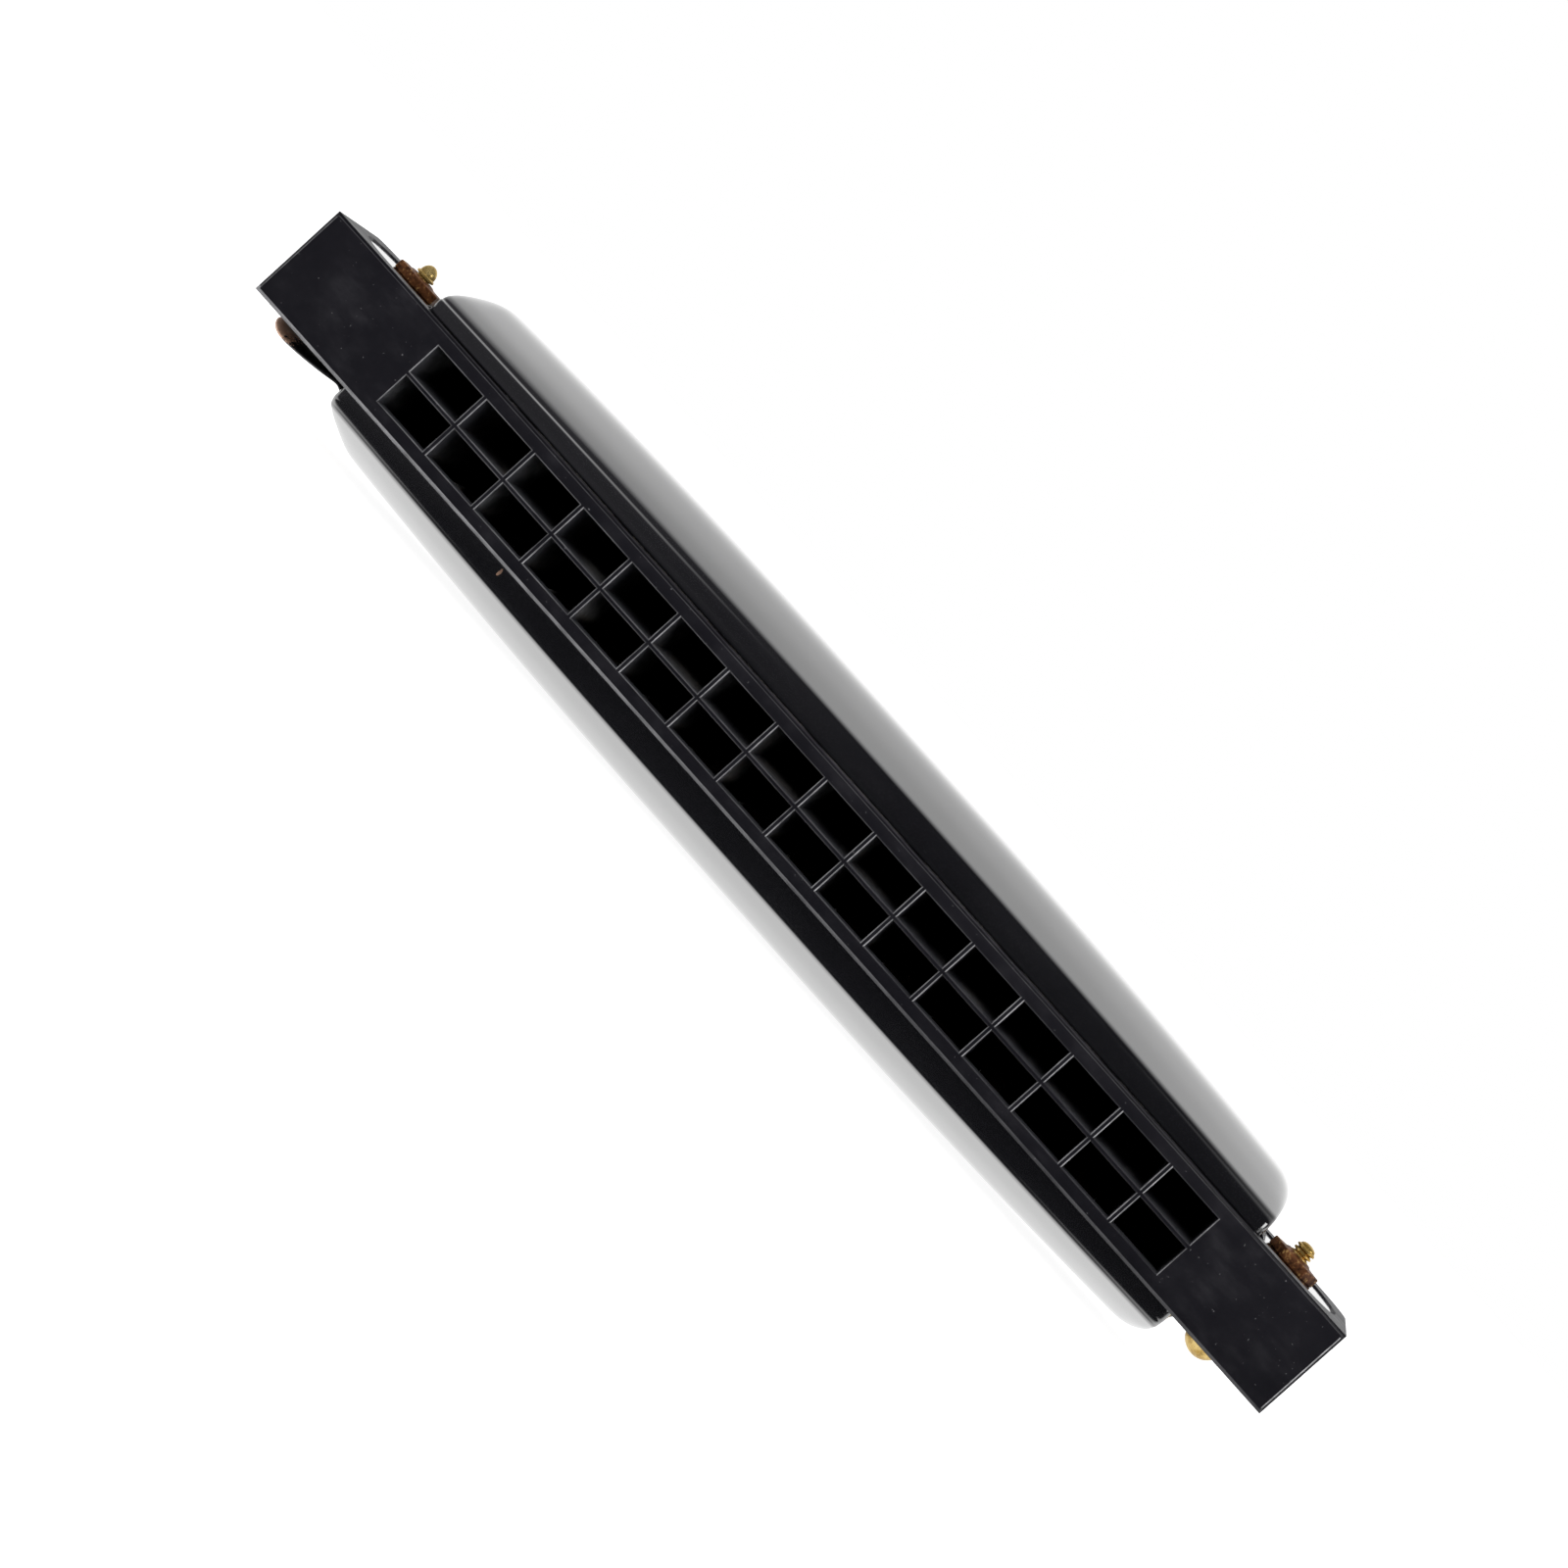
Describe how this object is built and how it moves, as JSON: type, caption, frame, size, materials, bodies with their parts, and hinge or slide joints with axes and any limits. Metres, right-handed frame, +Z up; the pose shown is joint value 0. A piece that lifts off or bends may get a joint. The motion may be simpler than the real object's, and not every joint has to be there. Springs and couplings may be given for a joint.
{
  "type": "tremolo harmonica",
  "caption": "Tremolo mouth organ: plastic comb with a double row of mouth holes, brass reed plates with sprung reeds, and black domed sheet covers screwed on at the ends.",
  "frame": {"origin": "middle of the bounding box at the height of the lower cover's crest", "axes": "+X along the mouth holes towards the high notes, the mouth face looks along -Y, +Z up through the upper cover"},
  "size_m": [0.136, 0.025, 0.0227],
  "materials": {
    "comb_plastic": "satin black moulded plastic",
    "plate_brass": "milled brass sheet",
    "reed_brass": "ground spring brass",
    "cover_black": "glossy black coat on copper alloy sheet",
    "screw_brass": "turned brass",
    "nut_bronze": "tarnished brown",
    "nail_steel": "plain steel"
  },
  "bodies": {
    "instrument": {"comb": "comb_plastic", "reed_plate_upper": "plate_brass", "cover_upper": "cover_black", "nail_upper_1": "nail_steel", "nail_upper_2": "nail_steel", "nail_upper_3": "nail_steel", "nail_upper_4": "nail_steel", "nail_upper_5": "nail_steel", "reed_plate_lower": "plate_brass", "cover_lower": "cover_black", "nail_lower_1": "nail_steel", "nail_lower_2": "nail_steel", "nail_lower_3": "nail_steel", "nail_lower_4": "nail_steel", "nail_lower_5": "nail_steel", "screw_left": "screw_brass", "nut_left": "nut_bronze", "screw_right": "screw_brass", "nut_right": "nut_bronze"},
    "reed_upper_01": {"reed_upper_01": "reed_brass"},
    "reed_upper_02": {"reed_upper_02": "reed_brass"},
    "reed_upper_03": {"reed_upper_03": "reed_brass"},
    "reed_upper_04": {"reed_upper_04": "reed_brass"},
    "reed_upper_05": {"reed_upper_05": "reed_brass"},
    "reed_upper_06": {"reed_upper_06": "reed_brass"},
    "reed_upper_07": {"reed_upper_07": "reed_brass"},
    "reed_upper_08": {"reed_upper_08": "reed_brass"},
    "reed_upper_09": {"reed_upper_09": "reed_brass"},
    "reed_upper_10": {"reed_upper_10": "reed_brass"},
    "reed_upper_11": {"reed_upper_11": "reed_brass"},
    "reed_upper_12": {"reed_upper_12": "reed_brass"},
    "reed_upper_13": {"reed_upper_13": "reed_brass"},
    "reed_upper_14": {"reed_upper_14": "reed_brass"},
    "reed_upper_15": {"reed_upper_15": "reed_brass"},
    "reed_upper_16": {"reed_upper_16": "reed_brass"},
    "reed_lower_01": {"reed_lower_01": "reed_brass"},
    "reed_lower_02": {"reed_lower_02": "reed_brass"},
    "reed_lower_03": {"reed_lower_03": "reed_brass"},
    "reed_lower_04": {"reed_lower_04": "reed_brass"},
    "reed_lower_05": {"reed_lower_05": "reed_brass"},
    "reed_lower_06": {"reed_lower_06": "reed_brass"},
    "reed_lower_07": {"reed_lower_07": "reed_brass"},
    "reed_lower_08": {"reed_lower_08": "reed_brass"},
    "reed_lower_09": {"reed_lower_09": "reed_brass"},
    "reed_lower_10": {"reed_lower_10": "reed_brass"},
    "reed_lower_11": {"reed_lower_11": "reed_brass"},
    "reed_lower_12": {"reed_lower_12": "reed_brass"},
    "reed_lower_13": {"reed_lower_13": "reed_brass"},
    "reed_lower_14": {"reed_lower_14": "reed_brass"},
    "reed_lower_15": {"reed_lower_15": "reed_brass"},
    "reed_lower_16": {"reed_lower_16": "reed_brass"}
  },
  "joints": [
    {"name": "reed_upper_01_swing", "type": "hinge", "parent": "instrument", "child": "reed_upper_01", "pos_m": [-0.04965, 0.0074, 0.01553], "axis": [1, 0, 0], "range_deg": [-2, 2], "stiffness_Nm_per_rad": 0.02},
    {"name": "reed_upper_02_swing", "type": "hinge", "parent": "instrument", "child": "reed_upper_02", "pos_m": [-0.04303, -0.0077, 0.01653], "axis": [1, 0, 0], "range_deg": [-2, 2], "stiffness_Nm_per_rad": 0.02},
    {"name": "reed_upper_03_swing", "type": "hinge", "parent": "instrument", "child": "reed_upper_03", "pos_m": [-0.03641, 0.0074, 0.01553], "axis": [1, 0, 0], "range_deg": [-2, 2], "stiffness_Nm_per_rad": 0.02},
    {"name": "reed_upper_04_swing", "type": "hinge", "parent": "instrument", "child": "reed_upper_04", "pos_m": [-0.02979, -0.0077, 0.01653], "axis": [1, 0, 0], "range_deg": [-2, 2], "stiffness_Nm_per_rad": 0.02},
    {"name": "reed_upper_05_swing", "type": "hinge", "parent": "instrument", "child": "reed_upper_05", "pos_m": [-0.02317, 0.0074, 0.01553], "axis": [1, 0, 0], "range_deg": [-2, 2], "stiffness_Nm_per_rad": 0.02},
    {"name": "reed_upper_06_swing", "type": "hinge", "parent": "instrument", "child": "reed_upper_06", "pos_m": [-0.01655, -0.0077, 0.01653], "axis": [1, 0, 0], "range_deg": [-2, 2], "stiffness_Nm_per_rad": 0.02},
    {"name": "reed_upper_07_swing", "type": "hinge", "parent": "instrument", "child": "reed_upper_07", "pos_m": [-0.00993, 0.0074, 0.01553], "axis": [1, 0, 0], "range_deg": [-2, 2], "stiffness_Nm_per_rad": 0.02},
    {"name": "reed_upper_08_swing", "type": "hinge", "parent": "instrument", "child": "reed_upper_08", "pos_m": [-0.00331, -0.0077, 0.01653], "axis": [1, 0, 0], "range_deg": [-2, 2], "stiffness_Nm_per_rad": 0.02},
    {"name": "reed_upper_09_swing", "type": "hinge", "parent": "instrument", "child": "reed_upper_09", "pos_m": [0.00331, 0.0074, 0.01553], "axis": [1, 0, 0], "range_deg": [-2, 2], "stiffness_Nm_per_rad": 0.02},
    {"name": "reed_upper_10_swing", "type": "hinge", "parent": "instrument", "child": "reed_upper_10", "pos_m": [0.00993, -0.0077, 0.01653], "axis": [1, 0, 0], "range_deg": [-2, 2], "stiffness_Nm_per_rad": 0.02},
    {"name": "reed_upper_11_swing", "type": "hinge", "parent": "instrument", "child": "reed_upper_11", "pos_m": [0.01655, 0.0074, 0.01553], "axis": [1, 0, 0], "range_deg": [-2, 2], "stiffness_Nm_per_rad": 0.02},
    {"name": "reed_upper_12_swing", "type": "hinge", "parent": "instrument", "child": "reed_upper_12", "pos_m": [0.02317, -0.0077, 0.01653], "axis": [1, 0, 0], "range_deg": [-2, 2], "stiffness_Nm_per_rad": 0.02},
    {"name": "reed_upper_13_swing", "type": "hinge", "parent": "instrument", "child": "reed_upper_13", "pos_m": [0.02979, 0.0074, 0.01553], "axis": [1, 0, 0], "range_deg": [-2, 2], "stiffness_Nm_per_rad": 0.02},
    {"name": "reed_upper_14_swing", "type": "hinge", "parent": "instrument", "child": "reed_upper_14", "pos_m": [0.03641, -0.0077, 0.01653], "axis": [1, 0, 0], "range_deg": [-2, 2], "stiffness_Nm_per_rad": 0.02},
    {"name": "reed_upper_15_swing", "type": "hinge", "parent": "instrument", "child": "reed_upper_15", "pos_m": [0.04303, 0.0074, 0.01553], "axis": [1, 0, 0], "range_deg": [-2, 2], "stiffness_Nm_per_rad": 0.02},
    {"name": "reed_upper_16_swing", "type": "hinge", "parent": "instrument", "child": "reed_upper_16", "pos_m": [0.04965, -0.0077, 0.01653], "axis": [1, 0, 0], "range_deg": [-2, 2], "stiffness_Nm_per_rad": 0.02},
    {"name": "reed_lower_01_swing", "type": "hinge", "parent": "instrument", "child": "reed_lower_01", "pos_m": [-0.04965, 0.0074, 0.00713], "axis": [1, 0, 0], "range_deg": [-2, 2], "stiffness_Nm_per_rad": 0.02},
    {"name": "reed_lower_02_swing", "type": "hinge", "parent": "instrument", "child": "reed_lower_02", "pos_m": [-0.04303, -0.0077, 0.00613], "axis": [1, 0, 0], "range_deg": [-2, 2], "stiffness_Nm_per_rad": 0.02},
    {"name": "reed_lower_03_swing", "type": "hinge", "parent": "instrument", "child": "reed_lower_03", "pos_m": [-0.03641, 0.0074, 0.00713], "axis": [1, 0, 0], "range_deg": [-2, 2], "stiffness_Nm_per_rad": 0.02},
    {"name": "reed_lower_04_swing", "type": "hinge", "parent": "instrument", "child": "reed_lower_04", "pos_m": [-0.02979, -0.0077, 0.00613], "axis": [1, 0, 0], "range_deg": [-2, 2], "stiffness_Nm_per_rad": 0.02},
    {"name": "reed_lower_05_swing", "type": "hinge", "parent": "instrument", "child": "reed_lower_05", "pos_m": [-0.02317, 0.0074, 0.00713], "axis": [1, 0, 0], "range_deg": [-2, 2], "stiffness_Nm_per_rad": 0.02},
    {"name": "reed_lower_06_swing", "type": "hinge", "parent": "instrument", "child": "reed_lower_06", "pos_m": [-0.01655, -0.0077, 0.00613], "axis": [1, 0, 0], "range_deg": [-2, 2], "stiffness_Nm_per_rad": 0.02},
    {"name": "reed_lower_07_swing", "type": "hinge", "parent": "instrument", "child": "reed_lower_07", "pos_m": [-0.00993, 0.0074, 0.00713], "axis": [1, 0, 0], "range_deg": [-2, 2], "stiffness_Nm_per_rad": 0.02},
    {"name": "reed_lower_08_swing", "type": "hinge", "parent": "instrument", "child": "reed_lower_08", "pos_m": [-0.00331, -0.0077, 0.00613], "axis": [1, 0, 0], "range_deg": [-2, 2], "stiffness_Nm_per_rad": 0.02},
    {"name": "reed_lower_09_swing", "type": "hinge", "parent": "instrument", "child": "reed_lower_09", "pos_m": [0.00331, 0.0074, 0.00713], "axis": [1, 0, 0], "range_deg": [-2, 2], "stiffness_Nm_per_rad": 0.02},
    {"name": "reed_lower_10_swing", "type": "hinge", "parent": "instrument", "child": "reed_lower_10", "pos_m": [0.00993, -0.0077, 0.00613], "axis": [1, 0, 0], "range_deg": [-2, 2], "stiffness_Nm_per_rad": 0.02},
    {"name": "reed_lower_11_swing", "type": "hinge", "parent": "instrument", "child": "reed_lower_11", "pos_m": [0.01655, 0.0074, 0.00713], "axis": [1, 0, 0], "range_deg": [-2, 2], "stiffness_Nm_per_rad": 0.02},
    {"name": "reed_lower_12_swing", "type": "hinge", "parent": "instrument", "child": "reed_lower_12", "pos_m": [0.02317, -0.0077, 0.00613], "axis": [1, 0, 0], "range_deg": [-2, 2], "stiffness_Nm_per_rad": 0.02},
    {"name": "reed_lower_13_swing", "type": "hinge", "parent": "instrument", "child": "reed_lower_13", "pos_m": [0.02979, 0.0074, 0.00713], "axis": [1, 0, 0], "range_deg": [-2, 2], "stiffness_Nm_per_rad": 0.02},
    {"name": "reed_lower_14_swing", "type": "hinge", "parent": "instrument", "child": "reed_lower_14", "pos_m": [0.03641, -0.0077, 0.00613], "axis": [1, 0, 0], "range_deg": [-2, 2], "stiffness_Nm_per_rad": 0.02},
    {"name": "reed_lower_15_swing", "type": "hinge", "parent": "instrument", "child": "reed_lower_15", "pos_m": [0.04303, 0.0074, 0.00713], "axis": [1, 0, 0], "range_deg": [-2, 2], "stiffness_Nm_per_rad": 0.02},
    {"name": "reed_lower_16_swing", "type": "hinge", "parent": "instrument", "child": "reed_lower_16", "pos_m": [0.04965, -0.0077, 0.00613], "axis": [1, 0, 0], "range_deg": [-2, 2], "stiffness_Nm_per_rad": 0.02}
  ]
}
